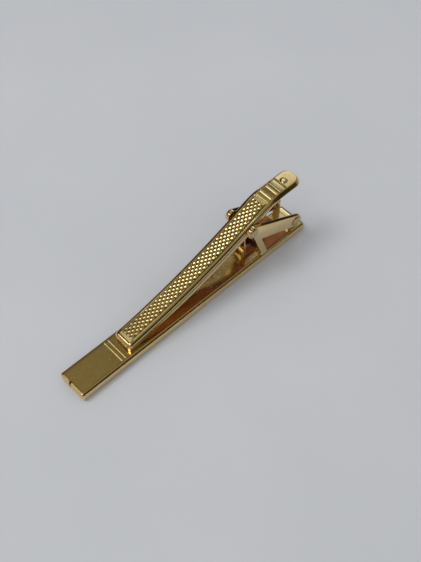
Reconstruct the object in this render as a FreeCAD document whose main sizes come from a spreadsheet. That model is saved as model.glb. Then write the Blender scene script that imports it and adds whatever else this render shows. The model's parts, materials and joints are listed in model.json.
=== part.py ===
"""Tie clip with a sprung rear jaw, lying on its decorative front face.

Millimetres. +X runs along the bar from its plain end to its hinge end, +Y across it, +Z up from the
front face.
The origin is the middle of the flat front face. Each piece of the clip is one labelled object.
"""
import FreeCAD, Part
import math
import os
import re
import Sketcher
from FreeCAD import Placement, Rotation, Vector

SIZES = [
    # the front bar: a shallow tray with a plate closing its back
    ("bar_length", 57.0),
    ("bar_width", 6.58),
    ("bar_height", 1.93),
    ("corner_radius", 0.35),
    ("shoulder_radius", 0.5),
    ("front_bevel", 0.35),
    ("skin", 0.45),
    ("side_lip", 0.66),
    ("plain_end_lip", 0.5),
    ("hinge_end_lip", 1.6),
    ("ledge", 0.45),
    ("notch_width", 0.38),
    ("notch_middle", 0.48),
    ("plate_thickness", 0.42),
    ("plate_sink", 0.03),
    ("fit_gap", 0.02),
    # two ridges across the plate, in front of the jaw
    ("ridge_x", -18.7),
    ("ridge_pitch", 0.9),
    ("ridge_width", 0.4),
    ("ridge_height", 0.12),
    ("ridge_crown_radius", 0.22),
    # the hinge pin, and the running gap round it in the arm
    ("pin_x", 13.7),
    ("pin_z", 11.4),
    ("pin_radius", 0.4),
    ("head_radius", 1.1),
    ("head_height", 0.42),
    ("running_gap", 0.03),
    # the hinge bracket: two cheeks, a foot between them and a tab that stops the spring
    ("cheek_inner", 2.42),
    ("cheek_outer", 3.2),
    ("eye_radius", 1.25),
    ("leg_front_x", 16.44),
    ("leg_back_x", 17.8),
    ("crotch_x", 16.05),
    ("crotch_z", 7.6),
    ("strap_slope", 21.0),
    ("strap_under_slope", 24.7),
    ("foot_thickness", 0.37),
    ("foot_back_x", 23.9),
    ("tab_x", 13.1),
    ("tab_height", 2.9),
    ("tab_half_width", 1.3),
    # the ears at the back of the cheeks, the lugs inside them and the rivets through both
    ("ear_x", 25.8),
    ("ear_z", 4.65),
    ("ear_radius", 1.4),
    ("lug_inner", 2.05),
    ("lug_gap", 0.01),
    ("lug_half_length", 0.95),
    ("rivet_radius", 0.6),
    ("rivet_head_radius", 1.12),
    ("rivet_head_height", 0.4),
    ("rivet_tail_radius", 0.85),
    ("rivet_tail_height", 0.12),
    # the clip arm: a channel bent from sheet, seen from the side
    ("sheet", 0.32),
    ("flange_wall", 0.36),
    ("nose_x", -16.75),
    ("nose_radius", 1.75),
    ("jaw_gap", 0.04),
    ("tip_x", -15.0),
    ("tip_z", 3.95),
    ("bow_radius", 120.0),
    ("crest_x", 15.0),
    ("crest_z", 13.2),
    ("crest_radius", 19.94),
    ("thumb_x", 23.3),
    ("thumb_z", 15.0),
    ("thumb_end_x", 27.7),
    ("thumb_edge_radius", 0.6),
    ("flange_tip_x", -14.8),
    ("flange_tip_z", 2.1),
    ("flange_bow_radius", 125.0),
    ("flange_depth", 2.3),
    ("thumb_flange_depth", 1.25),
    ("arm_eye_radius", 0.95),
    # the clip arm, seen from above
    ("arm_tip_half_width", 2.2),
    ("arm_half_width", 2.3),
    ("tip_corner_radius", 0.8),
    ("thumb_corner_radius", 1.9),
    # the torsion spring on the pin
    ("wire", 0.32),
    ("coil_gap", 0.02),
    ("coil_turns", 4),
    ("coil_start_y", -1.1),
    ("coil_pitch", 0.36),
    ("upper_leg", 5.0),
    ("upper_leg_slope", 21.5),
    ("lower_leg_end_z", 2.75),
]

doc = FreeCAD.newDocument("TieClip")
sheet = doc.addObject("Spreadsheet::Sheet", "Sizes")
for row, (alias, number) in enumerate(SIZES, start=1):
    sheet.set(f"A{row}", alias)
    sheet.set(f"B{row}", str(number))
    sheet.setAlias(f"B{row}", alias)
doc.recompute()

ALIASES = {alias for alias, _ in SIZES}


def bound(text):
    """The expression with every alias pointing at the sheet."""
    words = r"[a-z]+(?:_[a-z]+)*"
    return re.sub(words, lambda word: f"Sizes.{word[0]}" if word[0] in ALIASES else word[0], text)


def value(text):
    """What an expression comes to now, in millimetres or degrees."""
    return float(sheet.evalExpression(bound(text)))


def bind(thing, prop, text):
    """Drives a property from the sheet."""
    thing.setExpression(prop, bound(text))


def new_body(label):
    body = doc.addObject("PartDesign::Body", label)
    body.Label = label
    return body


def new_sketch(body, name, role, lift=None):
    """A sketch on one of the body's own origin planes, lifted off it along its normal if asked."""
    sketch = body.newObject("Sketcher::SketchObject", name)
    plane = next(f for f in body.Origin.OriginFeatures if f.Role == role)
    sketch.AttachmentSupport = [(plane, "")]
    sketch.MapMode = "FlatFace"
    if lift:
        bind(sketch, "AttachmentOffset.Base.z", lift)
    return sketch


def driven(sketch, kind, *where, size):
    """Adds a dimension to the sketch and drives it from the sheet."""
    index = sketch.addConstraint(Sketcher.Constraint(kind, *where, value(size)))
    bind(sketch, f"Constraints[{index}]", size)


def pin_down(sketch, geometry, point, x, y):
    """Fixes one point of the sketch at x, y from its origin."""
    driven(sketch, "DistanceX", -1, 1, geometry, point, size=x)
    driven(sketch, "DistanceY", -1, 1, geometry, point, size=y)


def circle(sketch, x, y, radius):
    centre = Vector(value(x), value(y), 0)
    index = sketch.addGeometry(Part.Circle(centre, Vector(0, 0, 1), value(radius)))
    driven(sketch, "Radius", index, size=radius)
    pin_down(sketch, index, 3, x, y)


def outline(sketch, *steps):
    """A closed outline. A step is (x, y), reached by a straight line, or (x, y, radius, turn), reached by
    an arc shorter than a half circle that turns left (+1) or right (-1), or a longer one (+2 or -2)."""
    places = [Vector(value(step[0]), value(step[1]), 0) for step in steps]
    ends = []
    for i, step in enumerate(steps):
        start, end = places[i - 1], places[i]
        if len(step) == 2:
            index = sketch.addGeometry(Part.LineSegment(start, end))
            ends.append((index, 1, 2))
            continue
        radius, turn = value(step[2]), step[3]
        chord = end - start
        rise = math.sqrt(radius ** 2 - (chord.Length / 2) ** 2)
        left = Vector(-chord.y, chord.x, 0).normalize()
        side = math.copysign(1, turn) * (1 if abs(turn) == 1 else -1)
        centre = start + chord * 0.5 + left * rise * side
        first, last = (start, end) if turn > 0 else (end, start)
        angles = [math.atan2(p.y - centre.y, p.x - centre.x) for p in (first, last)]
        arc = Part.ArcOfCircle(Part.Circle(centre, Vector(0, 0, 1), radius), *angles)
        index = sketch.addGeometry(arc)
        driven(sketch, "Radius", index, size=step[2])
        ends.append((index, 1, 2) if turn > 0 else (index, 2, 1))
    for i, (index, begins, finishes) in enumerate(ends):
        following, next_begins, _ = ends[(i + 1) % len(ends)]
        sketch.addConstraint(Sketcher.Constraint("Coincident", index, finishes, following, next_begins))
        pin_down(sketch, index, finishes, *steps[i][:2])


def box_outline(sketch, x_low, x_high, y_low, y_high):
    outline(sketch, (x_low, y_low), (x_high, y_low), (x_high, y_high), (x_low, y_high))


def pad(body, sketch, length, symmetric=False):
    feature = body.newObject("PartDesign::Pad", f"{sketch.Name}_pad")
    feature.Profile = sketch
    bind(feature, "Length", length)
    feature.SideType = "Symmetric" if symmetric else "One side"
    sketch.Visibility = False
    doc.recompute()
    return feature


def pocket(body, sketch, length, symmetric=False, reverse=False):
    """Cuts the sketch into the body, and stops if it removes nothing."""
    before = body.Shape.Volume
    feature = body.newObject("PartDesign::Pocket", f"{sketch.Name}_cut")
    feature.Profile = sketch
    bind(feature, "Length", length)
    feature.SideType = "Symmetric" if symmetric else "One side"
    feature.Reversed = reverse
    sketch.Visibility = False
    doc.recompute()
    if not body.Shape.Volume < before - 1e-6:
        raise ValueError(f"{feature.Name} cuts nothing")
    return feature


def edges_where(shape, test):
    """Names of the edges whose ends and middle all pass the test."""
    names = []
    for number, edge in enumerate(shape.Edges, start=1):
        low, high = edge.ParameterRange
        points = [edge.valueAt(low + (high - low) * share) for share in (0, 0.5, 1)]
        if all(test(p) for p in points):
            names.append(f"Edge{number}")
    return names


def dress(body, kind, name, prop, size, test):
    """A fillet or chamfer on the edges that pass the test."""
    base = body.Tip
    feature = body.newObject(f"PartDesign::{kind}", name)
    feature.Base = (base, edges_where(base.Shape, test))
    bind(feature, prop, size)
    doc.recompute()
    return feature


def revolve(body, sketch):
    """A full turn about the sketch's upright axis."""
    feature = body.newObject("PartDesign::Revolution", f"{sketch.Name}_turned")
    feature.Profile = sketch
    feature.ReferenceAxis = (sketch, ["V_Axis"])
    feature.Angle = 360
    sketch.Visibility = False
    doc.recompute()
    return feature


# ---- front shell: the decorative bar, a tray with rolled shoulders and a split, folded plain end ----
def make_front_shell():
    body = new_body("front_shell")
    blank = new_sketch(body, "shell_blank", "XY_Plane")
    box_outline(blank, "-bar_length / 2", "bar_length / 2", "-bar_width / 2", "bar_width / 2")
    pad(body, blank, "bar_height")
    top, end, side = value("bar_height"), value("bar_length / 2"), value("bar_width / 2")
    dress(body, "Fillet", "upright_corners", "Radius", "corner_radius",
          lambda p: abs(abs(p.x) - end) < 1e-6 and abs(abs(p.y) - side) < 1e-6)
    dress(body, "Fillet", "shoulders", "Radius", "shoulder_radius", lambda p: abs(p.z - top) < 1e-6)
    dress(body, "Chamfer", "front_edge", "Size", "front_bevel", lambda p: abs(p.z) < 1e-6)
    seat = new_sketch(body, "plate_seat", "XY_Plane", "bar_height")
    box_outline(seat, "plain_end_lip - bar_length / 2", "bar_length / 2 - hinge_end_lip",
                "side_lip - bar_width / 2", "bar_width / 2 - side_lip")
    pocket(body, seat, "plate_thickness + plate_sink")
    hollow = new_sketch(body, "hollow", "XY_Plane", "bar_height")
    box_outline(hollow, "plain_end_lip + ledge - bar_length / 2", "bar_length / 2 - hinge_end_lip - ledge",
                "side_lip + ledge - bar_width / 2", "bar_width / 2 - side_lip - ledge")
    pocket(body, hollow, "bar_height - skin")
    notch = new_sketch(body, "notch", "XY_Plane", "bar_height")
    box_outline(notch, "-bar_length / 2 - skin", "plain_end_lip - bar_length / 2",
                "notch_middle - notch_width / 2", "notch_middle + notch_width / 2")
    pocket(body, notch, "bar_height - skin")
    return body


# ---- back plate: closes the tray, carries the two ridges and the riveting lugs ----
def make_back_plate():
    body = new_body("back_plate")
    strip = new_sketch(body, "plate_strip", "XY_Plane", "bar_height - plate_sink - plate_thickness")
    box_outline(strip, "plain_end_lip + fit_gap - bar_length / 2", "bar_length / 2 - hinge_end_lip - fit_gap",
                "side_lip + fit_gap - bar_width / 2", "bar_width / 2 - side_lip - fit_gap")
    pad(body, strip, "plate_thickness")
    ridge = new_sketch(body, "ridge", "XZ_Plane")
    outline(ridge,
            ("ridge_x - ridge_width / 2", "bar_height - plate_sink", "ridge_crown_radius", 1),
            ("ridge_x - ridge_width / 2", "bar_height - plate_sink - ridge_height"),
            ("ridge_x + ridge_width / 2", "bar_height - plate_sink - ridge_height"),
            ("ridge_x + ridge_width / 2", "bar_height - plate_sink"),
            ("ridge_x", "bar_height - plate_sink + ridge_height", "ridge_crown_radius", 1))
    first = pad(body, ridge, "bar_width - 2 * side_lip - 2 * fit_gap", symmetric=True)
    row = body.newObject("PartDesign::LinearPattern", "ridges")
    row.Originals = [first]
    row.Direction = (ridge, ["H_Axis"])
    bind(row, "Length", "ridge_pitch")
    row.Occurrences = 2
    body.Tip = row
    doc.recompute()
    lug = new_sketch(body, "lug", "XZ_Plane")
    outline(lug,
            ("ear_x - lug_half_length", "bar_height - plate_sink - plate_thickness / 2"),
            ("ear_x + lug_half_length", "bar_height - plate_sink - plate_thickness / 2"),
            ("ear_x + lug_half_length", "ear_z"),
            ("ear_x", "ear_z + lug_half_length", "lug_half_length", 1),
            ("ear_x - lug_half_length", "ear_z", "lug_half_length", 1))
    pad(body, lug, "2 * (cheek_inner - lug_gap)", symmetric=True)
    between = new_sketch(body, "between_lugs", "XZ_Plane")
    box_outline(between, "ear_x - 2 * lug_half_length", "ear_x + 2 * lug_half_length",
                "bar_height - plate_sink", "ear_z + 3 * lug_half_length")
    pocket(body, between, "2 * lug_inner", symmetric=True)
    holes = new_sketch(body, "lug_holes", "XZ_Plane")
    circle(holes, "ear_x", "ear_z", "rivet_radius")
    pocket(body, holes, "2 * bar_width", symmetric=True)
    return body


# ---- hinge bracket: a stirrup whose cheeks lean from the foot up to the pin and back to the ears ----
def make_hinge_bracket():
    body = new_body("hinge_bracket")
    cheeks = new_sketch(body, "cheeks", "XZ_Plane")
    outline(cheeks,
            ("leg_front_x", "bar_height"),
            ("foot_back_x", "bar_height"),
            ("foot_back_x", "bar_height + foot_thickness"),
            ("leg_back_x", "bar_height + foot_thickness"),
            ("crotch_x", "crotch_z"),
            ("ear_x - ear_radius * sin(strap_under_slope)",
             "ear_z - ear_radius * cos(strap_under_slope)"),
            ("ear_x + ear_radius * sin(strap_slope)",
             "ear_z + ear_radius * cos(strap_slope)", "ear_radius", 1),
            ("pin_x + eye_radius * cos(strap_slope)", "pin_z - eye_radius * sin(strap_slope)"),
            ("pin_x", "pin_z - eye_radius", "eye_radius", 2))
    pad(body, cheeks, "2 * cheek_outer", symmetric=True)
    inside = new_sketch(body, "between_cheeks", "XZ_Plane")
    box_outline(inside, "pin_x - 2 * eye_radius", "ear_x + 2 * ear_radius",
                "bar_height + foot_thickness", "pin_z + 2 * eye_radius")
    pocket(body, inside, "2 * cheek_inner", symmetric=True)
    tab = new_sketch(body, "spring_tab", "XZ_Plane")
    outline(tab,
            ("tab_x", "bar_height"),
            ("leg_front_x + foot_thickness", "bar_height"),
            ("leg_front_x + foot_thickness", "bar_height + foot_thickness"),
            ("tab_x + foot_thickness", "bar_height + foot_thickness"),
            ("tab_x + foot_thickness", "bar_height + tab_height"),
            ("tab_x", "bar_height + tab_height"))
    pad(body, tab, "2 * tab_half_width", symmetric=True)
    holes = new_sketch(body, "cheek_holes", "XZ_Plane")
    circle(holes, "pin_x", "pin_z", "pin_radius")
    circle(holes, "ear_x", "ear_z", "rivet_radius")
    pocket(body, holes, "2 * bar_width", symmetric=True)
    return body


# ---- hinge pin: a plain shank with a domed head on the outside of each cheek ----
def make_hinge_pin():
    body = new_body("hinge_pin")
    half = new_sketch(body, "pin_half", "XY_Plane")
    dome = "(head_radius ^ 2 + head_height ^ 2) / (2 * head_height)"
    outline(half,
            ("0", "-cheek_outer - head_height"),
            ("head_radius", "-cheek_outer", dome, 1),
            ("pin_radius", "-cheek_outer"),
            ("pin_radius", "cheek_outer"),
            ("head_radius", "cheek_outer"),
            ("0", "cheek_outer + head_height", dome, 1))
    revolve(body, half)
    bind(body, "Placement.Base.x", "pin_x")
    bind(body, "Placement.Base.z", "pin_z")
    doc.recompute()
    return body


# ---- ear rivets: one through each cheek's ear and the lug inside it ----
def make_ear_rivets():
    body = new_body("ear_rivet")
    half = new_sketch(body, "rivet_half", "XY_Plane")
    dome = "(rivet_head_radius ^ 2 + rivet_head_height ^ 2) / (2 * rivet_head_height)"
    outline(half,
            ("0", "-cheek_outer - rivet_head_height"),
            ("rivet_head_radius", "-cheek_outer", dome, 1),
            ("rivet_radius", "-cheek_outer"),
            ("rivet_radius", "-lug_inner"),
            ("rivet_tail_radius", "-lug_inner"),
            ("rivet_tail_radius", "rivet_tail_height - lug_inner"),
            ("0", "rivet_tail_height - lug_inner"))
    revolve(body, half)
    bind(body, "Placement.Base.x", "ear_x")
    bind(body, "Placement.Base.z", "ear_z")
    other = doc.addObject("Part::Mirroring", "far_rivet")
    other.Source = body
    other.Normal = Vector(0, 1, 0)
    pair = doc.addObject("Part::Compound", "ear_rivets")
    pair.Links = [body, other]
    pair.Label = "ear_rivets"
    doc.recompute()
    return pair


# ---- clip arm: a channel with a closed nose at the jaw and a level thumb pad behind the pin ----
def make_clip_arm():
    body = new_body("clip_arm")
    side = new_sketch(body, "arm_side", "XZ_Plane")
    bend = "atan((crest_z - tip_z) / (crest_x - tip_x))"
    bow_chord = "sqrt((crest_x - tip_x) ^ 2 + (crest_z - tip_z) ^ 2)"
    bend_half = f"asin({bow_chord} / (2 * bow_radius))"
    slope = f"({bend} + {bend_half})"
    outline(side,
            ("nose_x", "bar_height + jaw_gap", "nose_radius", 1),
            ("flange_tip_x", "flange_tip_z"),
            (f"crest_x + flange_depth * sin({slope})",
             f"crest_z - flange_depth * cos({slope})", "flange_bow_radius", 1),
            ("thumb_x", "thumb_z - thumb_flange_depth", "crest_radius", -1),
            ("thumb_end_x", "thumb_z - thumb_flange_depth"),
            ("thumb_end_x", "thumb_z - thumb_edge_radius"),
            ("thumb_end_x - thumb_edge_radius", "thumb_z", "thumb_edge_radius", 1),
            ("thumb_x", "thumb_z"),
            ("crest_x", "crest_z", "crest_radius", 1),
            ("tip_x", "tip_z", "bow_radius", -1))
    pad(body, side, "2 * arm_half_width", symmetric=True)
    eye = new_sketch(body, "arm_eye", "XZ_Plane")
    circle(eye, "pin_x", "pin_z", "arm_eye_radius")
    pad(body, eye, "2 * arm_half_width", symmetric=True)
    channel = new_sketch(body, "channel", "XZ_Plane")
    outline(channel,
            ("tip_x + sheet", "0"),
            ("thumb_end_x - flange_wall", "0"),
            ("thumb_end_x - flange_wall", "thumb_z - sheet"),
            ("thumb_x", "thumb_z - sheet"),
            (f"crest_x + sheet * sin({slope})",
             f"crest_z - sheet * cos({slope})", "crest_radius - sheet", 1),
            ("tip_x + sheet", "tip_z - sheet", "bow_radius + sheet", -1))
    pocket(body, channel, "2 * (arm_tip_half_width - flange_wall)", symmetric=True)
    trim = new_sketch(body, "plan_trim", "XY_Plane")
    box_outline(trim, "nose_x - nose_radius", "thumb_end_x + nose_radius",
                "-2 * arm_half_width", "2 * arm_half_width")
    outline(trim,
            ("nose_x + tip_corner_radius", "-arm_tip_half_width", "tip_corner_radius", 1),
            ("pin_x", "-arm_half_width"),
            ("thumb_end_x - thumb_corner_radius", "-arm_half_width"),
            ("thumb_end_x", "thumb_corner_radius - arm_half_width", "thumb_corner_radius", 1),
            ("thumb_end_x", "arm_half_width - thumb_corner_radius"),
            ("thumb_end_x - thumb_corner_radius", "arm_half_width", "thumb_corner_radius", 1),
            ("pin_x", "arm_half_width"),
            ("nose_x + tip_corner_radius", "arm_tip_half_width"),
            ("nose_x", "arm_tip_half_width - tip_corner_radius", "tip_corner_radius", 1),
            ("nose_x", "tip_corner_radius - arm_tip_half_width"))
    pocket(body, trim, "2 * thumb_z", reverse=True)
    bore = new_sketch(body, "pin_bore", "XZ_Plane")
    circle(bore, "pin_x", "pin_z", "pin_radius + running_gap")
    pocket(body, bore, "2 * bar_width", symmetric=True)
    return body


# ---- torsion spring: a coil on the pin, one leg down behind the tab and one up under the thumb side ----
def make_torsion_spring():
    pin = Vector(value("pin_x"), 0, value("pin_z"))
    radius, mean = value("wire / 2"), value("pin_radius + coil_gap + wire / 2")
    start_y, pitch = value("coil_start_y"), value("coil_pitch")
    # the lower leg leaves the front of the coil and leans on the back of the tab's top edge
    leaning = value("tab_x + foot_thickness + wire / 2 + coil_gap")
    tab_top = Vector(leaning, start_y, value("bar_height + tab_height"))
    reach = math.hypot(tab_top.x - pin.x, tab_top.z - pin.z)
    first = math.atan2(tab_top.z - pin.z, tab_top.x - pin.x) - math.acos(mean / reach) + 2 * math.pi
    leg_top = on_coil(pin, mean, first, start_y)
    down = (tab_top - leg_top) * ((leg_top.z - value("lower_leg_end_z")) / (leg_top.z - tab_top.z))
    # the coil winds over the top towards the thumb, and ends where it points up the thumb's slope
    rise = math.radians(value("upper_leg_slope"))
    turns = (first - math.pi / 2 - rise) / (2 * math.pi) + value("coil_turns")
    coil_line = Part.makeHelix(pitch, pitch * turns, mean)
    wire_section = Part.Wire(Part.makeCircle(radius, Vector(mean, 0, 0), Vector(0, 1, 0)))
    coil = Part.Wire(coil_line).makePipeShell([wire_section], True, True)
    # the helix turns from +X towards -Z as it advances along +Y
    turn = Rotation(Vector(0, 1, 0), -math.degrees(first)).multiply(Rotation(Vector(1, 0, 0), -90))
    coil.Placement = Placement(pin + Vector(0, start_y, 0), turn)
    leg_start = on_coil(pin, mean, math.pi / 2 + rise, start_y + pitch * turns)
    up = Vector(math.cos(rise), 0, math.sin(rise))
    pieces_of_wire = [
        Part.makeCylinder(radius, down.Length, leg_top, down),
        Part.makeSphere(radius, leg_top),
        Part.makeCylinder(radius, value("upper_leg"), leg_start, up),
        Part.makeSphere(radius, leg_start),
    ]
    spring = doc.addObject("Part::Feature", "torsion_spring")
    spring.Label = "torsion_spring"
    spring.Shape = coil.fuse(pieces_of_wire)
    return spring


def on_coil(pin, mean, angle, y):
    """A point of the coil: the angle is measured in the XZ plane from +X towards +Z."""
    return Vector(pin.x + mean * math.cos(angle), y, pin.z + mean * math.sin(angle))


pieces = [
    make_front_shell(),
    make_back_plate(),
    make_hinge_bracket(),
    make_hinge_pin(),
    make_ear_rivets(),
    make_clip_arm(),
    make_torsion_spring(),
]
doc.recompute()

for thing in doc.Objects:
    if {"Invalid", "Error"} & set(thing.State):
        raise ValueError(f"{thing.Label} failed: {thing.State}")
for piece in pieces:
    if piece.Shape.isNull() or not piece.Shape.isValid():
        raise ValueError(f"{piece.Label} has no valid shape")

os.makedirs("parts", exist_ok=True)
for piece in pieces:
    piece.Shape.exportStep(f"parts/{piece.Label}.step")
    print(piece.Label, len(piece.Shape.Solids), "solids", round(piece.Shape.Volume, 3), "mm3")
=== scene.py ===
"""Looks of the tie clip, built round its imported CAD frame.

Shapes are worked out in millimetres, in the frame's axes, and become metres when a mesh is made.
+X runs along the bar from its plain end to its hinge end, +Y across it and +Z up from the floor.
"""
import json
import math

import bmesh
import bpy
from mathutils import Matrix, Vector


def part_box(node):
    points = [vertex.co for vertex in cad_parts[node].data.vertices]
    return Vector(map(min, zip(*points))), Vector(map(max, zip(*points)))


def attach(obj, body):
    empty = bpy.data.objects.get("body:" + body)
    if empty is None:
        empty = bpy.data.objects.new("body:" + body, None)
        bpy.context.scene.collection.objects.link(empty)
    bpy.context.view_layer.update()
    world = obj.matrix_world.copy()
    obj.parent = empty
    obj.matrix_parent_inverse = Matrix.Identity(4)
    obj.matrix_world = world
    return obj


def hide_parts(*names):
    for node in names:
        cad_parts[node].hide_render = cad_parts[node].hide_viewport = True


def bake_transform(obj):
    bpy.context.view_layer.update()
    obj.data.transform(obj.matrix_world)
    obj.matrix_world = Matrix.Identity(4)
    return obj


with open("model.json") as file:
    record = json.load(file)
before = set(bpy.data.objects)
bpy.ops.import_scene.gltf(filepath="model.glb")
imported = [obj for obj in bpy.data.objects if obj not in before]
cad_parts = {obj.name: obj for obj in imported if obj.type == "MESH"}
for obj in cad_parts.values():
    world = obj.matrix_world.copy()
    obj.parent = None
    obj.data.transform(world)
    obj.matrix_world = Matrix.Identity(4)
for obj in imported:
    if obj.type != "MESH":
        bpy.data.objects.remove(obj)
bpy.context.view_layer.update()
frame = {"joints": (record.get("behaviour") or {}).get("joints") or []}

MM = 0.001


def node_box(node):
    """Lowest and highest corner of a CAD node, in millimetres."""
    low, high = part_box(node)
    return low / MM, high / MM


HINGE = next(joint for joint in frame["joints"] if joint["name"] == "arm_hinge")
PIN = Vector(HINGE["pos_m"]) / MM
BAR_LOW, BAR_HIGH = node_box("front_shell")
PLATE_LOW, PLATE_HIGH = node_box("back_plate")
PIN_HIGH = node_box("hinge_pin")[1]
RIVET_HIGH = node_box("ear_rivets")[1]
ARM_LOW, ARM_HIGH = node_box("clip_arm")

# ---- mesh helpers ----
WELD = 0.002
FINE_WELD = 0.001


def add_object(name, data):
    thing = bpy.data.objects.new(name, data)
    bpy.context.scene.collection.objects.link(thing)
    return thing


def clean(mesh, materials, crease=32.0):
    """Welds the mesh, turns its faces outwards, scales it to metres and shades it smooth."""
    shape = bmesh.new()
    shape.from_mesh(mesh)
    bmesh.ops.remove_doubles(shape, verts=shape.verts, dist=WELD)
    bmesh.ops.dissolve_degenerate(shape, edges=shape.edges, dist=WELD / 4)
    bmesh.ops.recalc_face_normals(shape, faces=shape.faces)
    bmesh.ops.scale(shape, vec=(MM, MM, MM), verts=shape.verts)
    shape.to_mesh(mesh)
    shape.free()
    indices = [face.material_index for face in mesh.polygons]
    mesh.materials.clear()
    for material in materials:
        mesh.materials.append(material)
    mesh.polygons.foreach_set("material_index", indices)
    mesh.shade_smooth()
    mesh.set_sharp_from_angle(angle=math.radians(crease))


def raw_mesh(name, points, faces):
    mesh = bpy.data.meshes.new(name)
    mesh.from_pydata([tuple(point) for point in points], [], faces)
    return mesh


def loft(name, rings):
    """A skin over rings of equal length, capped at both ends."""
    count = len(rings[0])
    points = [point for ring in rings for point in ring]
    faces = []
    for r in range(len(rings) - 1):
        for i in range(count):
            j = (i + 1) % count
            faces.append((r * count + i, r * count + j, (r + 1) * count + j, (r + 1) * count + i))
    faces.append(tuple(range(count)))
    faces.append(tuple((len(rings) - 1) * count + i for i in range(count)))
    return raw_mesh(name, points, faces)


def combine(name, first, others, operation):
    """One mesh made from closed meshes, by union or difference."""
    target = add_object(name, first)
    for mesh in [first] + others:
        shape = bmesh.new()
        shape.from_mesh(mesh)
        bmesh.ops.remove_doubles(shape, verts=shape.verts, dist=FINE_WELD)
        bmesh.ops.recalc_face_normals(shape, faces=shape.faces)
        shape.to_mesh(mesh)
        shape.free()
    helpers = [add_object(f"{name}_helper", mesh) for mesh in others]
    for helper in helpers:
        step = target.modifiers.new("step", "BOOLEAN")
        step.operation = operation
        step.solver = "EXACT"
        step.object = helper
    bpy.context.view_layer.update()
    graph = bpy.context.evaluated_depsgraph_get()
    result = bpy.data.meshes.new_from_object(target.evaluated_get(graph))
    for thing in [target] + helpers:
        bpy.data.objects.remove(thing)
    return result


def arc(centre, radius, first, last, steps):
    """Points on an arc between two angles in degrees, both ends included."""
    turns = [math.radians(first + (last - first) * k / steps) for k in range(steps + 1)]
    return [(centre[0] + radius * math.cos(a), centre[1] + radius * math.sin(a)) for a in turns]


def upright_plate(name, outline, y_low, y_high, edge):
    """A plate standing in the XZ plane between two y values, with its edges rounded by edge."""
    curve = bpy.data.curves.new(name, "CURVE")
    curve.dimensions = "2D"
    curve.fill_mode = "BOTH"
    curve.extrude = (y_high - y_low) / 2 - edge
    curve.bevel_depth = edge
    curve.bevel_resolution = 2
    curve.offset = -edge
    line = curve.splines.new("POLY")
    line.points.add(len(outline) - 1)
    for point, (x, z) in zip(line.points, outline):
        point.co = (x, z, 0, 1)
    line.use_cyclic_u = True
    helper = add_object(name, curve)
    bpy.context.view_layer.update()
    mesh = bpy.data.meshes.new_from_object(helper)
    bpy.data.objects.remove(helper)
    stand = Matrix.Translation((0, (y_low + y_high) / 2, 0)) @ Matrix.Rotation(math.pi / 2, 4, "X")
    mesh.transform(stand)
    return mesh


def turned(name, profile, x, z, steps=48):
    """A solid turned about an axis along Y through x, z. The profile is (radius, y), from end to end."""
    rings = []
    for radius, y in profile:
        rings.append([(x + radius * math.cos(2 * math.pi * k / steps), y,
                       z + radius * math.sin(2 * math.pi * k / steps)) for k in range(steps)])
    return loft(name, rings)


def domed_end(radius, height, y, outward, rim=0.14, steps=7):
    """Profile of a domed head from its crown to its underside, which lies at y."""
    pole_share = 0.02
    fall = 0.97
    crown_radius = radius - rim * 0.35
    profile = []
    for k in range(steps + 1):
        share = max(k / steps, pole_share)
        lift = (height - rim) * math.sqrt(1 - fall * share ** 2) + rim
        profile.append((crown_radius * share, y + outward * lift))
    profile.append((radius, y + outward * rim * 0.5))
    profile.append((radius - rim * 0.2, y))
    return profile


# ---- the bar: pressed tray with rolled shoulders and a split plain end ----
SHOULDER = 0.6
HINGE_END_ROUND = 0.9
FRONT_BEVEL = 0.35
CORNER = 0.4
SIDE_LIP = 0.66
PLAIN_LIP = 0.5
HINGE_LIP = 1.6
SEAT_DEPTH = 0.45
NOTCH_MIDDLE = 0.48
NOTCH_WIDTH = 0.38
NOTCH_FLOOR = 0.45
NOTCH_FLARE = 0.14
PLAIN_END_SHARE = 0.6
SEAT_CORNER = 0.05


def rounded_ring(x_low, x_high, half_width, radius, z, steps=6):
    corners = ((x_high, half_width, 0), (x_low, half_width, 90), (x_low, -half_width, 180),
               (x_high, -half_width, 270))
    ring = []
    for x, y, first in corners:
        centre = (x - math.copysign(radius, x), y - math.copysign(radius, y))
        ring += [(px, py, z) for px, py in arc(centre, radius, first, first + 90, steps)]
    return ring


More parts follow.
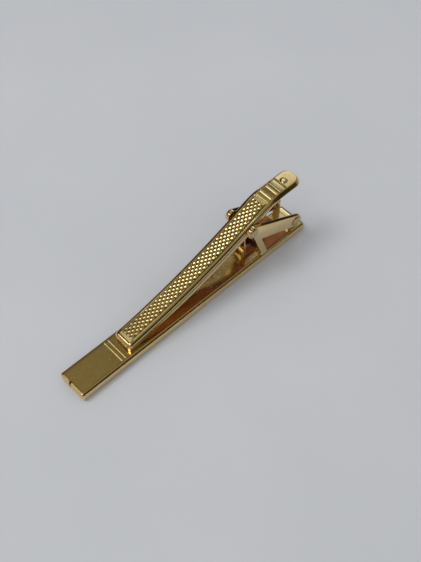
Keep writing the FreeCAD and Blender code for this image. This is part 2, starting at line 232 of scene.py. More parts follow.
def bar_shell_mesh():
    """The bar from its bevelled front face up over the shoulders, with the plate's seat and the notch."""
    half = BAR_HIGH.y
    rings = []
    bevel_steps, shoulder_steps = 3, 8
    for k in range(bevel_steps + 1):
        share = k / bevel_steps
        inset = FRONT_BEVEL * (1 - share)
        rings.append(rounded_ring(BAR_LOW.x + inset, BAR_HIGH.x - inset, half - inset, CORNER,
                                  BAR_LOW.z + FRONT_BEVEL * share))
    for k in range(shoulder_steps + 1):
        turn = math.radians(90 * k / shoulder_steps)
        inset = SHOULDER * (1 - math.cos(turn))
        end_inset = HINGE_END_ROUND * (1 - math.cos(turn))
        plain_inset = PLAIN_END_SHARE * inset
        rings.append(rounded_ring(BAR_LOW.x + plain_inset, BAR_HIGH.x - end_inset, half - inset,
                                  CORNER, BAR_HIGH.z - SHOULDER + SHOULDER * math.sin(turn)))
    seat = (BAR_LOW.x + PLAIN_LIP, BAR_HIGH.x - HINGE_LIP, half - SIDE_LIP)
    rings.append(rounded_ring(*seat, SEAT_CORNER, BAR_HIGH.z))
    rings.append(rounded_ring(*seat, SEAT_CORNER, BAR_HIGH.z - SEAT_DEPTH))
    shell = loft("bar_shell", rings)
    side, flare = NOTCH_WIDTH / 2, NOTCH_FLARE
    above, past_end, wall = BAR_HIGH.z + 1, BAR_LOW.x - 1, 0.06
    left = arc((-side - flare, BAR_HIGH.z - flare), flare, 0, 90, 4)
    right = arc((side + flare, BAR_HIGH.z - flare), flare, 90, 180, 4)
    section = [(-side, NOTCH_FLOOR)] + left + [(-side - flare, above)]
    section += [(side + flare, above)] + right + [(side, NOTCH_FLOOR)]
    reach = (past_end, BAR_LOW.x + PLAIN_LIP - wall)
    slot_rings = [[(x, NOTCH_MIDDLE + y, z) for y, z in section] for x in reach]
    return combine("bar_shell", shell, [loft("slot", slot_rings)], "DIFFERENCE")


# ---- the back plate, its two ridges and its riveting lugs ----
FIT_GAP = 0.02
PLATE_TOP = BAR_HIGH.z - 0.03
PLATE_THICK = 0.42
RIDGES = (-18.7, -17.8)
RIDGE_WIDTH = 0.42
RIDGE_HEIGHT = 0.14
LUG_INNER = 2.05
LUG_OUTER = 2.41
LUG_HALF = 0.95
EAR = (25.8, 4.65)
PLATE_EDGE = 0.05
RIDGE_STEPS = 12


def plate_stations():
    """x values across the plate's length, close together at the ridges."""
    stations = [PLATE_LOW.x, PLATE_LOW.x + PLATE_EDGE]
    for middle in RIDGES:
        stations += [middle + RIDGE_WIDTH * (k / RIDGE_STEPS - 0.5) for k in range(RIDGE_STEPS + 1)]
    stations += [PLATE_HIGH.x - PLATE_EDGE, PLATE_HIGH.x]
    return sorted(stations)


def ridge_lift(x):
    """Height of the two ridges across the plate, at x."""
    lift = 0.0
    for middle in RIDGES:
        away = abs(x - middle) / (RIDGE_WIDTH / 2)
        if away < 1:
            lift += RIDGE_HEIGHT * math.cos(away * math.pi / 2)
    return lift


def plate_mesh():
    """The plate in its seat, joined to the two lugs that carry the ears."""
    half = BAR_HIGH.y - SIDE_LIP - FIT_GAP
    edge = PLATE_EDGE
    rings = []
    for x in plate_stations():
        drop = edge if x in (PLATE_LOW.x, PLATE_HIGH.x) else 0.0
        top = PLATE_TOP + ridge_lift(x) - drop
        low = PLATE_TOP - PLATE_THICK
        rings.append([(x, -half, low), (x, half, low), (x, half, top - edge),
                      (x, half - edge, top), (x, edge - half, top), (x, -half, top - edge)])
    strip = loft("plate_strip", rings)
    root = PLATE_TOP - PLATE_THICK / 2
    lug_line = [(EAR[0] - LUG_HALF, root), (EAR[0] + LUG_HALF, root)]
    lug_line += arc(EAR, LUG_HALF, 0, 180, 16)
    lugs = [upright_plate("lug", lug_line, LUG_INNER, LUG_OUTER, edge),
            upright_plate("lug", lug_line, -LUG_OUTER, -LUG_INNER, edge)]
    return combine("bar_plate", strip, lugs, "UNION")


# ---- the stirrup: two cheeks, the foot between them and the spring's tab ----
CHEEK_INNER = 2.42
CHEEK_OUTER = 3.2
EYE_RADIUS = 1.25
EAR_RADIUS = 1.4
LEG_FRONT_X = 16.44
LEG_BACK_X = 17.8
CROTCH = (16.05, 7.6)
FOOT_BACK_X = 23.9
FOOT_THICK = 0.37
STRAP_SLOPE = 21.0
STRAP_UNDER_SLOPE = 24.7
TAB_X = 13.1
TAB_HEIGHT = 2.9
TAB_TOP = BAR_HIGH.z + TAB_HEIGHT
TAB_HALF_WIDTH = 1.3


def cheek_outline():
    """Side view of a cheek: the leaning leg, the strap back to the ear and the eye round the pin."""
    foot_top = BAR_HIGH.z + FOOT_THICK
    eye = (PIN.x, PIN.z)
    line = [(LEG_FRONT_X, BAR_HIGH.z), (FOOT_BACK_X, BAR_HIGH.z), (FOOT_BACK_X, foot_top),
            (LEG_BACK_X, foot_top), CROTCH]
    line += arc(EAR, EAR_RADIUS, -90 - STRAP_UNDER_SLOPE, 90 - STRAP_SLOPE, 20)
    line += arc(eye, EYE_RADIUS, 90 - STRAP_SLOPE, 270, 24)
    return line


def stirrup_mesh():
    """The bent bracket. Material 1 is the dark copper-red painted shade on its inward faces and the foot's
    top, between the cheeks and under the arm.
    """
    edge, foot_edge, tab_edge = 0.07, 0.05, 0.04
    overlap = 0.2
    near = upright_plate("cheek", cheek_outline(), -CHEEK_OUTER, -CHEEK_INNER, edge)
    far = upright_plate("cheek", cheek_outline(), CHEEK_INNER, CHEEK_OUTER, edge)
    low, top = BAR_HIGH.z, BAR_HIGH.z + FOOT_THICK
    foot_line = [(LEG_FRONT_X, low), (FOOT_BACK_X, low), (FOOT_BACK_X, top), (LEG_FRONT_X, top)]
    foot = upright_plate("foot", foot_line, -CHEEK_INNER - overlap, CHEEK_INNER + overlap, foot_edge)
    tab_back = TAB_X + FOOT_THICK
    bend = 0.25
    tab_line = [(LEG_FRONT_X + overlap, low), (LEG_FRONT_X + overlap, top)]
    tab_line += arc((tab_back + bend, top + bend), bend, 270, 180, 6)
    tab_line += arc((TAB_X + FOOT_THICK / 2, TAB_TOP - FOOT_THICK / 2), FOOT_THICK / 2, 0, 180, 8)
    tab_line += arc((TAB_X + FOOT_THICK, low + FOOT_THICK), FOOT_THICK, 180, 270, 6)
    tab = upright_plate("tab", tab_line, -TAB_HALF_WIDTH, TAB_HALF_WIDTH, tab_edge)
    mesh = combine("stirrup", near, [far, foot, tab], "UNION")
    # material 1 paints shade on the inward cheek faces and on the foot's top
    for face in mesh.polygons:
        facing_in = abs(face.normal.y) > 0.9 and abs(face.center.y) < CHEEK_INNER + edge
        on_foot = face.normal.z > 0.9 and abs(face.center.z - top) < 0.01
        face.material_index = 1 if facing_in or on_foot else 0
    return mesh


# ---- the hinge pin and the ear rivets ----
PIN_RADIUS = 0.4
HEAD_RADIUS = 1.1
RIVET_RADIUS = 0.6
RIVET_HEAD_RADIUS = 1.12


def pin_mesh():
    """The pin through both cheeks, with a domed head outside each."""
    height = PIN_HIGH.y - CHEEK_OUTER
    near = domed_end(HEAD_RADIUS, height, -CHEEK_OUTER, -1)
    far = domed_end(HEAD_RADIUS, height, CHEEK_OUTER, 1)
    profile = near + [(PIN_RADIUS, -CHEEK_OUTER), (PIN_RADIUS, CHEEK_OUTER)] + far[::-1]
    return turned("pin", profile, PIN.x, PIN.z)


def rivet_mesh(side):
    """The rivet through the ear and the lug on one side, +1 or -1."""
    height = RIVET_HIGH.y - CHEEK_OUTER
    head = domed_end(RIVET_HEAD_RADIUS, height, CHEEK_OUTER, 1, rim=0.16)
    tail_radius, tail_height, tail_middle = 0.85, 0.12, 0.02
    profile = head + [(RIVET_RADIUS, CHEEK_OUTER), (RIVET_RADIUS, LUG_INNER), (tail_radius, LUG_INNER),
                      (tail_radius * 0.8, LUG_INNER - tail_height), (tail_middle, LUG_INNER - tail_height)]
    return turned("rivet", [(radius, side * y) for radius, y in profile], *EAR)


def joined(name, meshes):
    """One mesh holding several closed meshes that don't touch."""
    shape = bmesh.new()
    for mesh in meshes:
        shape.from_mesh(mesh)
    result = bpy.data.meshes.new(name)
    shape.to_mesh(result)
    shape.free()
    return result


# ---- the clip arm: a channel with a knurled, arched back, ribs and a level thumb pad ----
NOSE_X = -16.7
NOSE_ROUND = 1.1
NOSE_FOOT = BAR_HIGH.z + 0.05
TIP = (-15.0, 3.95)
CREST = (15.0, 13.2)
THUMB = (23.3, 15.0)
BOW_RADIUS = 120.0
CREST_RADIUS = 19.94
SHEET = 0.3
WALL = 0.36
THUMB_CORNER = 1.9
TIP_HALF_WIDTH = 2.2
THUMB_HALF_WIDTH = 2.3


def arc_between(start, end, radius, side):
    """(centre, first angle, last angle) of the short arc; side is +1 if its centre is to the left."""
    dx, dz = end[0] - start[0], end[1] - start[1]
    chord = math.hypot(dx, dz)
    rise = math.sqrt(radius ** 2 - chord ** 2 / 4)
    centre = ((start[0] + end[0]) / 2 - dz / chord * rise * side,
              (start[1] + end[1]) / 2 + dx / chord * rise * side)
    first = math.atan2(start[1] - centre[1], start[0] - centre[0])
    last = math.atan2(end[1] - centre[1], end[0] - centre[0])
    return centre, first, last


class ArmLine:
    """The top line of the arm, from the foot of its nose to its thumb end, by developed length."""

    def __init__(self):
        bow_centre, bow_first, bow_last = arc_between(TIP, CREST, BOW_RADIUS, 1)
        crest_centre, crest_first, crest_last = arc_between(CREST, THUMB, CREST_RADIUS, -1)
        slope = bow_first + math.pi / 2
        nose_x = NOSE_X + NOSE_ROUND
        touch_x = nose_x - NOSE_ROUND * math.sin(slope)
        touch_z = TIP[1] + (touch_x - TIP[0]) * math.tan(slope)
        nose = (nose_x, touch_z - NOSE_ROUND * math.cos(slope))
        self.parts = [
            ("line", (NOSE_X, NOSE_FOOT), (NOSE_X, nose[1])),
            ("arc", nose, NOSE_ROUND, math.pi, math.pi / 2 + slope),
            ("line", (touch_x, touch_z), TIP),
            ("arc", bow_centre, BOW_RADIUS, bow_first, bow_last),
            ("arc", crest_centre, CREST_RADIUS, crest_first, crest_last),
            ("line", THUMB, (ARM_HIGH.x, THUMB[1])),
        ]
        self.lengths = [self.measure(part) for part in self.parts]
        self.total = sum(self.lengths)
        self.tip = sum(self.lengths[:3])

    @staticmethod
    def measure(part):
        if part[0] == "line":
            return math.dist(part[1], part[2])
        return part[2] * abs(part[4] - part[3])

    def at(self, s):
        """Point and outward normal at developed length s, both as (x, z)."""
        left = min(max(s, 0.0), self.total)
        for part, length in zip(self.parts, self.lengths):
            if left <= length or part is self.parts[-1]:
                break
            left -= length
        share = left / length
        if part[0] == "line":
            start, end = part[1], part[2]
            dx, dz = (end[0] - start[0]) / length, (end[1] - start[1]) / length
            return (start[0] + dx * left, start[1] + dz * left), (-dz, dx)
        centre, radius, first, last = part[1:]
        angle = first + (last - first) * share
        out = (math.cos(angle), math.sin(angle))
        point = (centre[0] + radius * out[0], centre[1] + radius * out[1])
        inside = -1 if last > first else 1
        return point, (out[0] * inside, out[1] * inside)


LINE = ArmLine()


def ease(value, low, high):
    """0 below low, 1 above high and a smooth rise between them."""
    share = min(max((value - low) / (high - low), 0.0), 1.0)
    return share * share * (3 - 2 * share)


KNURL_LONG = 1.25
KNURL_WIDE = 0.85
KNURL_DEPTH = 0.13
PANEL_HALF = 1.36
PANEL_START_X = -15.35
PANEL_END_X = 18.0
RIBS = ((19.85, 0.1), (21.35, 0.1), (22.42, 0.4))
RIB_HEIGHT = 0.12
RIB_FLANK = 0.185
MARK_X = 24.5
MARK_RADIUS = 0.58
MARK_HEIGHT = 0.14
MARK_GROOVE_DEPTH = 0.05
KNURL_SINK = 0.03
PANEL_SIDE_FADE = 0.12
PANEL_END_FADE = 0.2
SIDE_GROOVE_FADE = 0.3
BORDER_GAP = 0.4
GROOVE_WIDTH = 0.24
SIDE_GROOVE_DEPTH = 0.11
END_GROOVE_WIDTH = 0.34
END_GROOVE_DEPTH = 0.13
PAD_FIELD_DEPTH = 0.06
PAD_FIELD_END_X = 23.9


def ramp(value):
    """A saw between 0 and 1 with a period of 1."""
    return 1 - abs(2 * (value - math.floor(value)) - 1)


def knurl(s, y):
    """Height of the diamond knurl above its grooves."""
    one = ramp(s / KNURL_LONG + y / KNURL_WIDE)
    other = ramp(s / KNURL_LONG - y / KNURL_WIDE)
    return KNURL_DEPTH * min(one, other)


def dip(distance, width):
    """1 in the middle of a groove or rib, falling to 0 at half its width."""
    away = abs(distance) / (width / 2)
    return 0.5 * (1 + math.cos(math.pi * away)) if away < 1 else 0.0


def relief(s, x, y):
    """Height of the pressed pattern on the arm's back."""
    across = abs(y)
    border_x = PANEL_END_X + BORDER_GAP
    inside = min(ease(PANEL_HALF - across, 0.0, PANEL_SIDE_FADE),
                 ease(x, PANEL_START_X, PANEL_START_X + PANEL_END_FADE),
                 ease(PANEL_END_X - x, 0.0, PANEL_END_FADE))
    height = inside * (knurl(s, y) - KNURL_SINK)
    if x < border_x:
        side_groove = dip(across - PANEL_HALF - 0.1, GROOVE_WIDTH)
        fade = ease(x, PANEL_START_X, PANEL_START_X + SIDE_GROOVE_FADE)
        height -= SIDE_GROOVE_DEPTH * side_groove * fade
    across_share = ease(PANEL_HALF + 0.3 - across, 0.0, 0.15)
    height -= END_GROOVE_DEPTH * dip(x - PANEL_END_X - BORDER_GAP, END_GROOVE_WIDTH) * across_share
    for middle, width in RIBS:
        rise = (width / 2 + RIB_FLANK - abs(x - middle)) / RIB_FLANK
        height += RIB_HEIGHT * min(max(rise, 0.0), 1.0) * across_share
    field = ease(x, PANEL_END_X + 0.75, PANEL_END_X + 0.95) * ease(PAD_FIELD_END_X - x, 0.0, 0.5)
    height -= PAD_FIELD_DEPTH * field * across_share
    away = math.hypot(x - MARK_X, y)
    height += MARK_HEIGHT * ease(MARK_RADIUS - away, 0.0, 0.2)
    height -= MARK_GROOVE_DEPTH * dip(away - MARK_RADIUS - 0.12, GROOVE_WIDTH)
    return height


def half_width(x):
    """Half the width of the arm over plan position x, before its corners are rounded."""
    share = min(max((x - ARM_LOW.x) / (PIN.x - ARM_LOW.x), 0.0), 1.0)
    return TIP_HALF_WIDTH + (THUMB_HALF_WIDTH - TIP_HALF_WIDTH) * share


# the drop of the back's long edges: on the bow, what the crest takes off and what the pad adds
CROWN_BOW = 0.58
CROWN_CREST_LOSS = 0.26
CROWN_PAD_GAIN = 0.4
# width of the rolled edge on the bow, and what the crest takes off
SHOULDER_BOW = 0.86
SHOULDER_CREST_LOSS = 0.3
# depth of the flanges at the nose, what the bow adds and what the thumb side takes off
FLANGE_NOSE = 1.95
FLANGE_BOW_GAIN = 0.35
FLANGE_THUMB_LOSS = 1.3


def crown(x):
    """How far the long edges lie below the middle of the arm's back."""
    return (CROWN_BOW - CROWN_CREST_LOSS * ease(x, 12.5, 17.0)
            + CROWN_PAD_GAIN * ease(x, 18.5, 22.0))


def shoulder_width(x):
    """Width of the rolled edge of the arm's back."""
    return SHOULDER_BOW - SHOULDER_CREST_LOSS * ease(x, 15.0, 19.0)


def wall_depth(x):
    """How far the flanges reach below the middle of the arm's back."""
    return (FLANGE_NOSE + FLANGE_BOW_GAIN * ease(x, -13.0, 0.0)
            - FLANGE_THUMB_LOSS * ease(x, 14.0, 22.5))


class Row:
    """One station across the arm. A row in the rounded thumb end knows its turn round the corner."""

    def __init__(self, s, turn=None):
        self.s, self.turn = s, turn

    def edge(self, inset):
        """(developed length, half width) where the row meets the outline moved in by inset."""
        if self.turn is None:
            point, _ = LINE.at(self.s)
            s = min(self.s, LINE.total - inset)
            return s, half_width(point[0]) - inset
        radius = THUMB_CORNER - inset
        s = LINE.total - THUMB_CORNER + radius * math.sin(self.turn)
        return s, THUMB_HALF_WIDTH - THUMB_CORNER + radius * math.cos(self.turn)


def edge_distance(s, y):
    """Distance from a point of the developed back to the arm's outline."""
    point, _ = LINE.at(s)
    to_side = half_width(point[0]) - abs(y)
    to_end = LINE.total - s
    if to_side < THUMB_CORNER and to_end < THUMB_CORNER:
        return THUMB_CORNER - math.hypot(THUMB_CORNER - to_side, THUMB_CORNER - to_end)
    return min(to_side, to_end)


def back_height(s, y):
    """Height of the arm's arched back, without its pattern, over its middle line."""
    x = LINE.at(s)[0][0]
    reach, drop = shoulder_width(x), crown(x)
    share = min(max((reach - edge_distance(s, y)) / reach, 0.0), 1.0)
    soft = 0.05 * (y / THUMB_HALF_WIDTH) ** 2
    rolled = 1 - math.sqrt(max(1 - share ** 2, 0.0))
    slanted = share ** 1.15
    slant = ease(x, 17.0, 21.0)
    return -soft - (drop - soft) * (rolled + (slanted - rolled) * slant)


def to_frame(s, y, height):
    """The frame's (x, y, z) for a place on the arm, height above its middle line."""
    point, normal = LINE.at(s)
    return (point[0] + normal[0] * height, y, point[1] + normal[1] * height)


# bead and flange, as (inset from the outline, share of the way from the shoulder down to the foot)
OUTER_LEVELS = ((0.02, 0.02), (0.1, 0.05), (0.1, 0.09), (0.03, 0.12), (0.0, 0.17), (0.03, 0.22),
                (0.07, 0.25), (0.07, 0.5), (0.07, 0.75), (0.07, 0.96), (0.11, 1.0))
INNER_LEVELS = tuple((WALL, share) for _, share in OUTER_LEVELS)


def wall_point(row, side, inset, share, base_drop):
    """A point of the flange, between the edge of the back and the flange's foot."""
    s, width = row.edge(inset)
    x = LINE.at(s)[0][0]
    top = Vector(to_frame(s, 0, -crown(x) - base_drop))
    foot = Vector(to_frame(s, 0, -wall_depth(x)))
    if s < LINE.tip:
        nose_foot = Vector((NOSE_X + crown(NOSE_X) + base_drop, 0, NOSE_FOOT))
        tip_foot = Vector(to_frame(LINE.tip, 0, -wall_depth(TIP[0])))
        foot = nose_foot.lerp(tip_foot, s / LINE.tip)
    place = top.lerp(foot, share)
    return (place.x, side * width, place.z)


def arm_skin(rows, columns, inset, drop, levels, patterned):
    """Points of one skin of the arm, as rows of equal length, and the wall across its thumb end."""
    grid = []
    for row in rows:
        s, width = row.edge(inset)
        left = [wall_point(row, -1, level, share, drop) for level, share in reversed(levels)]
        right = [wall_point(row, 1, level, share, drop) for level, share in levels]
        top = []
        for v in columns:
            y = v * width
            outer_s, outer_width = row.edge(0)
            height = back_height(outer_s, v * outer_width) - drop
            if patterned:
                height += relief(s, LINE.at(s)[0][0], y) * ease(1 - abs(v), 0.0, 0.04)
            top.append(to_frame(s, y, height))
        grid.append(left + top + right)
    last = rows[-1]
    end = []
    for level, share in levels:
        s, width = last.edge(level)
        x, z = wall_point(last, 1, level, share, drop)[::2]
        end.append([(x, v * width, z) for v in columns])
    return grid, end


def arm_rows():
    """Stations from the foot of the nose to the thumb end."""
    straight = LINE.total - THUMB_CORNER
    ribs_start = LINE.total - (ARM_HIGH.x - PANEL_END_X) - 0.5
    coarse, fine = 0.1, 0.05
    rows = []
    for first, last, step in ((0.0, ribs_start, coarse), (ribs_start, straight, fine)):
        count = round((last - first) / step)
        rows += [Row(first + (last - first) * k / count) for k in range(count)]
    turns = 26
    rows += [Row(None, math.pi / 2 * k / turns) for k in range(turns + 1)]
    return rows


def arm_columns():
    """Shares of the half width, close together at the edges."""
    flat = 25
    shoulder = 9
    flat_share = 0.63
    side = [flat_share * k / flat for k in range(1, flat + 1)]
    for k in range(1, shoulder + 1):
        side.append(flat_share + (1 - flat_share) * math.sin(math.pi / 2 * k / shoulder))
    return [-v for v in reversed(side)] + [0.0] + side


def skin_faces(grid, first, level_count, column_count):
    """Faces of one skin; its points start at index first, with the grid's rows before the end wall's."""
    across = len(grid[0])
    faces = []
    for r in range(len(grid) - 1):
        for c in range(across - 1):
            a = first + r * across + c
            faces.append((a, a + 1, a + across + 1, a + across))
    last_row = first + (len(grid) - 1) * across
    above = [last_row + level_count + c for c in range(column_count)]
    for k in range(level_count):
        below = [first + len(grid) * across + k * column_count + c for c in range(column_count)]
        for c in range(column_count - 1):
            faces.append((above[c], above[c + 1], below[c + 1], below[c]))
        above = below
    return faces


def skin_border(grid, end, first, column_count):
    """Indices round the open edge of one skin."""
    across = len(grid[0])
    rows = len(grid)
    near = [first + r * across for r in range(rows)]
    wall = [first + rows * across + (len(end) - 1) * column_count + c for c in range(column_count)]
    far = [first + r * across + across - 1 for r in reversed(range(rows))]
    front = [first + c for c in reversed(range(across))]
    return near + wall + far + front


def arm_mesh():
    """The arm's outer and inner skins, joined round their open edges. Material 1, on the inner skin, is dark
    copper-red painted shade.
    """
    rows, columns = arm_rows(), arm_columns()
    outer, outer_end = arm_skin(rows, columns, 0.0, 0.0, OUTER_LEVELS, True)
    inner, inner_end = arm_skin(rows, columns, WALL, SHEET, INNER_LEVELS, False)
    points, faces, borders = [], [], []
    for grid, end in ((outer, outer_end), (inner, inner_end)):
        first = len(points)
        faces += skin_faces(grid, first, len(OUTER_LEVELS), len(columns))
        borders.append(skin_border(grid, end, first, len(columns)))
        points += [point for line in grid + end for point in line]
    one, two = borders
    outside = len(faces) // 2
    for k in range(len(one)):
        n = (k + 1) % len(one)
        faces.append((one[k], one[n], two[n], two[k]))
    mesh = raw_mesh("arm_shell", points, faces)
    for face in mesh.polygons:
        # the inner skin's faces take material 1, the painted shade
        face.material_index = 1 if outside <= face.index < 2 * outside else 0
    return mesh


# ---- the torsion spring ----
WIRE_RADIUS = 0.16
COIL_RADIUS = PIN_RADIUS + 0.02 + WIRE_RADIUS
COIL_START_Y = -1.1
COIL_PITCH = 0.36
COIL_TURNS = 4
UPPER_LEG = 5.0
UPPER_LEG_SLOPE = 21.5
LOWER_LEG_FOOT = 2.75
# how far past the wire's end a ring of its rounded tip lies, and its share of the wire's radius
TIP_RINGS = ((0.06, 0.75), (0.12, 0.35))


def coil_point(angle, y):
    """A point on the middle line of the coil's wire."""
    return Vector((PIN.x + COIL_RADIUS * math.cos(angle), y, PIN.z + COIL_RADIUS * math.sin(angle)))


def spring_path():
    """Lower leg, coil and upper leg as one line of points."""
    rest = Vector((TAB_X + FOOT_THICK + WIRE_RADIUS + 0.02, COIL_START_Y, TAB_TOP))
    reach = math.hypot(rest.x - PIN.x, rest.z - PIN.z)
    first = math.atan2(rest.z - PIN.z, rest.x - PIN.x) - math.acos(COIL_RADIUS / reach) + 2 * math.pi
    leg_top = coil_point(first, COIL_START_Y)
    foot = leg_top + (rest - leg_top) * ((leg_top.z - LOWER_LEG_FOOT) / (leg_top.z - rest.z))
    rise = math.radians(UPPER_LEG_SLOPE)
    turn = first - math.pi / 2 - rise + 2 * math.pi * COIL_TURNS
    steps, leg_steps = 24 * (COIL_TURNS + 1), 10
    path = [foot.lerp(leg_top, k / leg_steps) for k in range(leg_steps)]
    for k in range(steps + 1):
        share = k / steps
        y = COIL_START_Y + COIL_PITCH * turn * share / (2 * math.pi)
        path.append(coil_point(first - turn * share, y))
    leg = Vector((math.cos(rise), 0, math.sin(rise))) * UPPER_LEG
    start = path[-1].copy()
    path += [start + leg * (k / leg_steps) for k in range(1, leg_steps + 1)]
    return path


def tube(name, path, radius, sides=16):
    """A round wire along a line of points, with rounded tips."""
    tangents = []
    for k in range(len(path)):
        before, after = path[max(k - 1, 0)], path[min(k + 1, len(path) - 1)]
        tangents.append((after - before).normalized())
    normal = Vector((0, 1, 0))
    rings = []
    for k, (point, tangent) in enumerate(zip(path, tangents)):
        normal = (normal - tangent * normal.dot(tangent)).normalized()
        other = tangent.cross(normal)
        if k == 0:
            for past, share in reversed(TIP_RINGS):
                rings.append(wire_ring(point - tangent * past, normal, other, radius * share, sides))
        rings.append(wire_ring(point, normal, other, radius, sides))
        if k == len(path) - 1:
            for past, share in TIP_RINGS:
                rings.append(wire_ring(point + tangent * past, normal, other, radius * share, sides))
    return loft(name, rings)


def wire_ring(centre, normal, other, radius, sides):
    """A ring of points about the wire's middle line."""
    turns = [2 * math.pi * k / sides for k in range(sides)]
    return [tuple(centre + normal * (radius * math.cos(a)) + other * (radius * math.sin(a))) for a in turns]


# ---- materials ----
class Nodes:
    """Short calls for building a node material."""

    def __init__(self, tree):
        self.tree = tree

    def add(self, kind, **settings):
        node = self.tree.nodes.new(kind)
        for name, setting in settings.items():
            setattr(node, name, setting)
        return node

    def link(self, source, target):
        self.tree.links.new(source, target)

    def place(self, scale):
        """Object coordinates in millimetres, stretched by scale."""
        coordinates = self.add("ShaderNodeTexCoord")
        mapping = self.add("ShaderNodeMapping")
        mapping.inputs["Scale"].default_value = [factor / MM for factor in scale]
        self.link(coordinates.outputs["Object"], mapping.inputs["Vector"])
        return mapping.outputs["Vector"]

    def noise(self, scale, detail=3.0, stretch=(1, 1, 1)):
        """Noise whose scale is in features per millimetre."""
        noise = self.add("ShaderNodeTexNoise")
        noise.inputs["Scale"].default_value = scale
        noise.inputs["Detail"].default_value = detail
        self.link(self.place(stretch), noise.inputs["Vector"])
        return noise.outputs["Fac"]

    def remap(self, source, low, high, to_low, to_high):
        remap = self.add("ShaderNodeMapRange")
        remap.clamp = True
        for name, number in (("From Min", low), ("From Max", high), ("To Min", to_low), ("To Max", to_high)):
            remap.inputs[name].default_value = number
        self.link(source, remap.inputs["Value"])
        return remap.outputs["Result"]

    def math(self, operation, first, second):
        node = self.add("ShaderNodeMath", operation=operation)
        for slot, source in zip(node.inputs, (first, second)):
            if isinstance(source, (int, float)):
                slot.default_value = source
            else:
                self.link(source, slot)
        return node.outputs["Value"]

    def mix(self, share, first, second):
        node = self.add("ShaderNodeMix", data_type="RGBA")
        for name, source in (("Factor", share), ("A", first), ("B", second)):
            slot = next(s for s in node.inputs if s.name == name and s.type in ("VALUE", "RGBA")
                        and (s.type == "RGBA") == (name != "Factor"))
            if isinstance(source, (int, float)):
                slot.default_value = source
            elif isinstance(source, tuple):
                slot.default_value = (*source, 1.0)
            else:
                self.link(source, slot)
        return next(s for s in node.outputs if s.type == "RGBA")

    def bump(self, height, distance, strength=1.0, normal=None):
        node = self.add("ShaderNodeBump")
        node.inputs["Distance"].default_value = distance * MM
        node.inputs["Strength"].default_value = strength
        self.link(height, node.inputs["Height"])
        if normal:
            self.link(normal, node.inputs["Normal"])
        return node.outputs["Normal"]


def gilt(name, colour, worn, roughness, brushing=0.0, dust_and_glint=0.5, ripple=0.5):
    """Gold-coloured plating: worn patches, fine scratches, pale specks that are partly dust and partly
    painted glints, and a slightly uneven polish.
    """
    material = bpy.data.materials.new(name)
    material.use_nodes = True
    nodes = Nodes(material.node_tree)
    shader = material.node_tree.nodes["Principled BSDF"]
    shader.inputs["Metallic"].default_value = 1.0
    patch_scale, speck_scale, scratch_scale, ripple_scale = 0.45, 3.6, 1.0, 0.8
    along_the_bar = (0.5, 14.0, 6.0)
    patches = nodes.remap(nodes.noise(patch_scale, 4.0), 0.4, 0.68, 0.0, 1.0)
    # pale specks: partly dust, rougher than the plating, and partly painted glints
    dust_and_glint_specks = nodes.remap(nodes.noise(speck_scale, 2.0), 0.63, 0.71, 0.0, dust_and_glint)
    scratches = nodes.remap(nodes.noise(scratch_scale, 3.0, along_the_bar), 0.56, 0.72, 0.0, 1.0)
    tone = nodes.mix(nodes.math("MULTIPLY", patches, 0.6), colour, worn)
    # the specks' pale colour: dust tone and painted glint together
    dust_and_glint_tone = tuple(0.5 * c + 0.5 for c in colour)
    nodes.link(nodes.mix(nodes.math("MULTIPLY", dust_and_glint_specks, 0.5), tone, dust_and_glint_tone), shader.inputs["Base Color"])
    rough = nodes.math("ADD", nodes.math("MULTIPLY", patches, 0.07), roughness)
    rough = nodes.math("ADD", nodes.math("MULTIPLY", dust_and_glint_specks, 0.22), rough)
    rough = nodes.math("ADD", nodes.math("MULTIPLY", scratches, 0.06 + 0.1 * brushing), rough)
    nodes.link(rough, shader.inputs["Roughness"])
    normal = nodes.bump(nodes.noise(ripple_scale, 2.0), 0.012 * ripple)
    normal = nodes.bump(scratches, 0.0015 + 0.003 * brushing, 0.6, normal)
    normal = nodes.bump(dust_and_glint_specks, 0.004, 0.5, normal)
    nodes.link(normal, shader.inputs["Normal"])
    return material


def floor_material():
    """Pale grey stone top with a faint mottle and a satin polish."""
    material = bpy.data.materials.new("pale_floor")
    material.use_nodes = True
    nodes = Nodes(material.node_tree)
    shader = material.node_tree.nodes["Principled BSDF"]
    mottle = nodes.remap(nodes.noise(0.02, 5.0), 0.3, 0.7, 0.0, 1.0)
    nodes.link(nodes.mix(mottle, (0.56, 0.575, 0.60), (0.60, 0.612, 0.635)), shader.inputs["Base Color"])
    nodes.link(nodes.remap(nodes.noise(0.3, 3.0), 0.3, 0.7, 0.42, 0.5), shader.inputs["Roughness"])
    return material


# ---- surroundings ----
def direction(azimuth, elevation):
    """Unit vector; azimuth runs from +X towards +Y."""
    a, e = math.radians(azimuth), math.radians(elevation)
    return Vector((math.cos(a) * math.cos(e), math.sin(a) * math.cos(e), math.sin(e)))


# soft patches of the room: azimuth, elevation, radius and softness in degrees, colour
ROOM = (
    (90, 66, 9, 5, (0.85, 0.84, 0.7)),
    (130, 43, 21, 7, (0.045, 0.03, 0.015)),
    (88, 20, 24, 7, (0.03, 0.022, 0.014)),
    (150, 38, 9, 3, (2.0, 2.0, 1.9)),
    (188, 55, 12, 4, (3.3, 3.3, 3.15)),
    (47, 2, 38, 7, (0.015, 0.011, 0.008)),
    (-80, 24, 34, 8, (0.025, 0.021, 0.016)),
    (36, 40, 10, 3.5, (1.1, 1.17, 1.25)),
    (67, 60, 9, 7, (0.19, 0.17, 0.1)),
    (49.5, 56.5, 3.5, 2, (0.02, 0.012, 0.008)),
)
ROOM_BASE = (0.22, 0.2, 0.13)
SOFT_LIGHT = (0.57, 0.575, 0.59)
BACKDROP = (0.5, 0.505, 0.52)


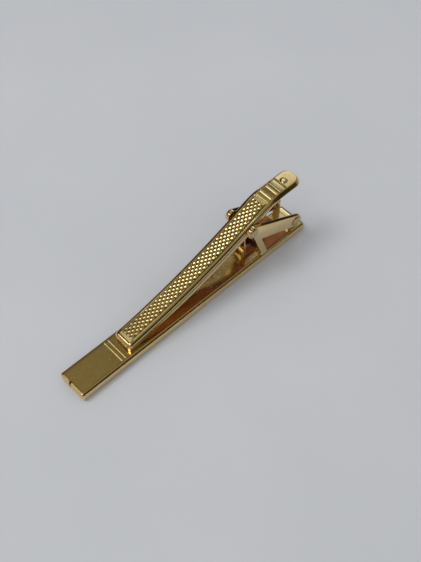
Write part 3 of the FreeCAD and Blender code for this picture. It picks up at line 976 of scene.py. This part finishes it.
def make_world():
    """The room as the metal reflects it, a plain soft light on the floor and a plain backdrop."""
    world = bpy.data.worlds.new("soft_room")
    world.use_nodes = True
    bpy.context.scene.world = world
    nodes = Nodes(world.node_tree)
    background = world.node_tree.nodes["Background"]
    coordinates = nodes.add("ShaderNodeTexCoord")
    colour = ROOM_BASE
    for azimuth, elevation, radius, softness, patch in ROOM:
        dot = nodes.add("ShaderNodeVectorMath", operation="DOT_PRODUCT")
        nodes.link(coordinates.outputs["Generated"], dot.inputs[0])
        dot.inputs[1].default_value = direction(azimuth, elevation)
        near = math.cos(math.radians(max(radius - softness, 0)))
        far = math.cos(math.radians(radius + softness))
        share = nodes.remap(dot.outputs["Value"], far, near, 0.0, 1.0)
        colour = nodes.mix(share, colour, patch)
    path = nodes.add("ShaderNodeLightPath")
    soft = nodes.mix(path.outputs["Is Diffuse Ray"], colour, SOFT_LIGHT)
    seen = nodes.mix(path.outputs["Is Camera Ray"], soft, BACKDROP)
    nodes.link(seen, background.inputs["Color"])


def make_light(name, azimuth, elevation, distance, size, watts):
    data = bpy.data.lights.new(name, "AREA")
    data.shape = "DISK"
    data.size = size
    data.energy = watts
    lamp = add_object(name, data)
    away = direction(azimuth, elevation)
    lamp.location = away * distance
    lamp.rotation_euler = away.to_track_quat("Z", "Y").to_euler()
    lamp.visible_glossy = False
    return lamp


def make_floor():
    reach, drop = 600.0, 0.02
    corners = [(-reach, -reach), (reach, -reach), (reach, reach), (-reach, reach)]
    mesh = raw_mesh("floor", [(x * MM, y * MM, (BAR_LOW.z - drop) * MM) for x, y in corners], [(0, 1, 2, 3)])
    mesh.materials.append(floor_material())
    floor = add_object("floor", mesh)


def make_camera():
    """Camera high on the near side, beyond the plain end, aimed between the bar's middle and its hinge."""
    place = Vector((-62.46, -72.83, 143.48))
    aim = Vector((5.83, 0.30, 0.0))
    roll = -0.34
    lens_length = 57.65
    data = bpy.data.cameras.new("camera")
    data.lens = lens_length
    data.sensor_width = 36.0
    data.clip_start = 0.005
    data.clip_end = 10.0
    camera = add_object("camera", data)
    forward = (aim - place).normalized()
    turn = forward.to_track_quat("-Z", "Y").to_matrix().to_4x4()
    camera.matrix_world = Matrix.Translation(place * MM) @ turn @ Matrix.Rotation(math.radians(roll), 4, "Z")
    bpy.context.scene.camera = camera


# ---- pieces on their CAD bodies ----
def add_piece(name, mesh, materials, body, node, crease=32.0):
    """Adds a finished piece in place of a CAD node; with no body it is left unattached."""
    clean(mesh, materials, crease)
    mesh.name = name
    piece = add_object(name, mesh)
    if body:
        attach(piece, body)
    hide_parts(node)
    return piece


GOLD = (0.87, 0.67, 0.33)
WORN_GOLD = (0.8, 0.58, 0.25)
bar_gilt = gilt("polished_gilt", GOLD, WORN_GOLD, 0.13, brushing=0.3, dust_and_glint=0.6, ripple=1.1)
bracket_gilt = gilt("bracket_gilt", (0.88, 0.68, 0.35), WORN_GOLD, 0.11, dust_and_glint=0.3)
# pin and rivet heads have a darkened colour, a painted shade that stands in for the dark surroundings they
# reflect
pin_gilt = gilt("pin_gilt", (0.6, 0.44, 0.27), (0.5, 0.34, 0.2), 0.1, dust_and_glint=0.2)
arm_gilt = gilt("arm_gilt", (0.88, 0.69, 0.34), WORN_GOLD, 0.14, dust_and_glint=0.4)
# dark copper-red painted shade for faces inside the arm's channel, between the cheeks and on the foot under
# the arm
inner_painted_shade_gilt = gilt("inner_painted_shade_gilt", (0.44, 0.18, 0.075), (0.34, 0.13, 0.05), 0.28, dust_and_glint=0.2)
wire_gilt = gilt("spring_wire", (0.86, 0.66, 0.3), WORN_GOLD, 0.14, dust_and_glint=0.2)

add_piece("bar_shell", bar_shell_mesh(), [bar_gilt], "bar", "front_shell")
add_piece("bar_plate", plate_mesh(), [bar_gilt], "bar", "back_plate")
add_piece("stirrup", stirrup_mesh(), [bracket_gilt, inner_painted_shade_gilt], "bar", "hinge_bracket")
add_piece("pin", pin_mesh(), [pin_gilt], "bar", "hinge_pin")
rivets = joined("rivets", [rivet_mesh(1), rivet_mesh(-1)])
add_piece("rivets", rivets, [pin_gilt], "bar", "ear_rivets")
add_piece("arm_shell", arm_mesh(), [arm_gilt, inner_painted_shade_gilt], "arm", "clip_arm", crease=50.0)
coil = add_piece("spring_coil", tube("spring_coil", spring_path(), WIRE_RADIUS), [wire_gilt], None,
                 "torsion_spring")
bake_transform(coil)

make_floor()
make_world()
make_light("window", azimuth=137, elevation=58, distance=0.7, size=0.3, watts=1.6)
make_camera()
bpy.context.scene.view_settings.view_transform = "Standard"
